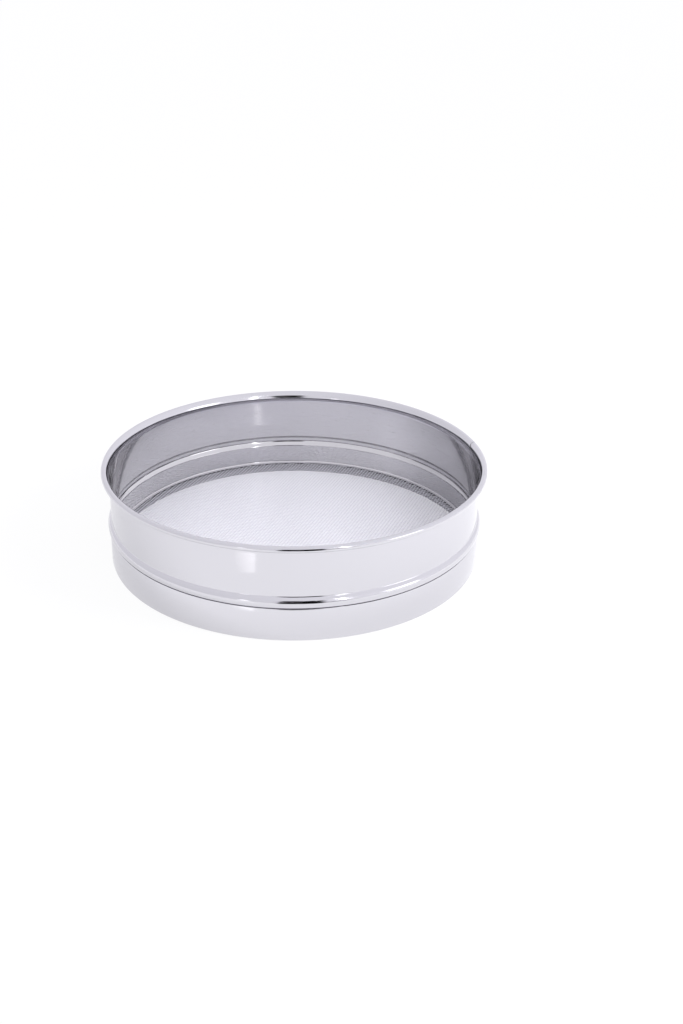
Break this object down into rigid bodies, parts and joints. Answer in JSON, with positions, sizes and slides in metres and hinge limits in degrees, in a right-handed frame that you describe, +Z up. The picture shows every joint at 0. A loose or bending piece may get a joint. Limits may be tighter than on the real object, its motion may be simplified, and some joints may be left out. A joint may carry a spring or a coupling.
{
  "type": "drum sieve",
  "caption": "Round metal drum sieve: a deep hoop with a rolled rim and a stiffening bead, and a lower hoop that clamps a flat wire cloth.",
  "frame": {"origin": "centre of the circle that the clamp hoop stands on, on the table", "axes": "+Z up along the drum's axis, out of the open bowl; +X to the right and +Y away from the viewer in the picture"},
  "size_m": [0.3, 0.3, 0.076],
  "materials": {
    "polished_hoop": "polished stainless steel sheet",
    "polished_clamp": "polished stainless steel sheet",
    "drawn_wire": "bright drawn stainless wire",
    "wire_cloth": "plain-weave stainless wire cloth"
  },
  "bodies": {
    "root": {"upper_hoop": "polished_hoop", "clamp_hoop": "polished_clamp", "rim_wire": "drawn_wire", "sieve_mesh": "wire_cloth"}
  },
  "joints": []
}
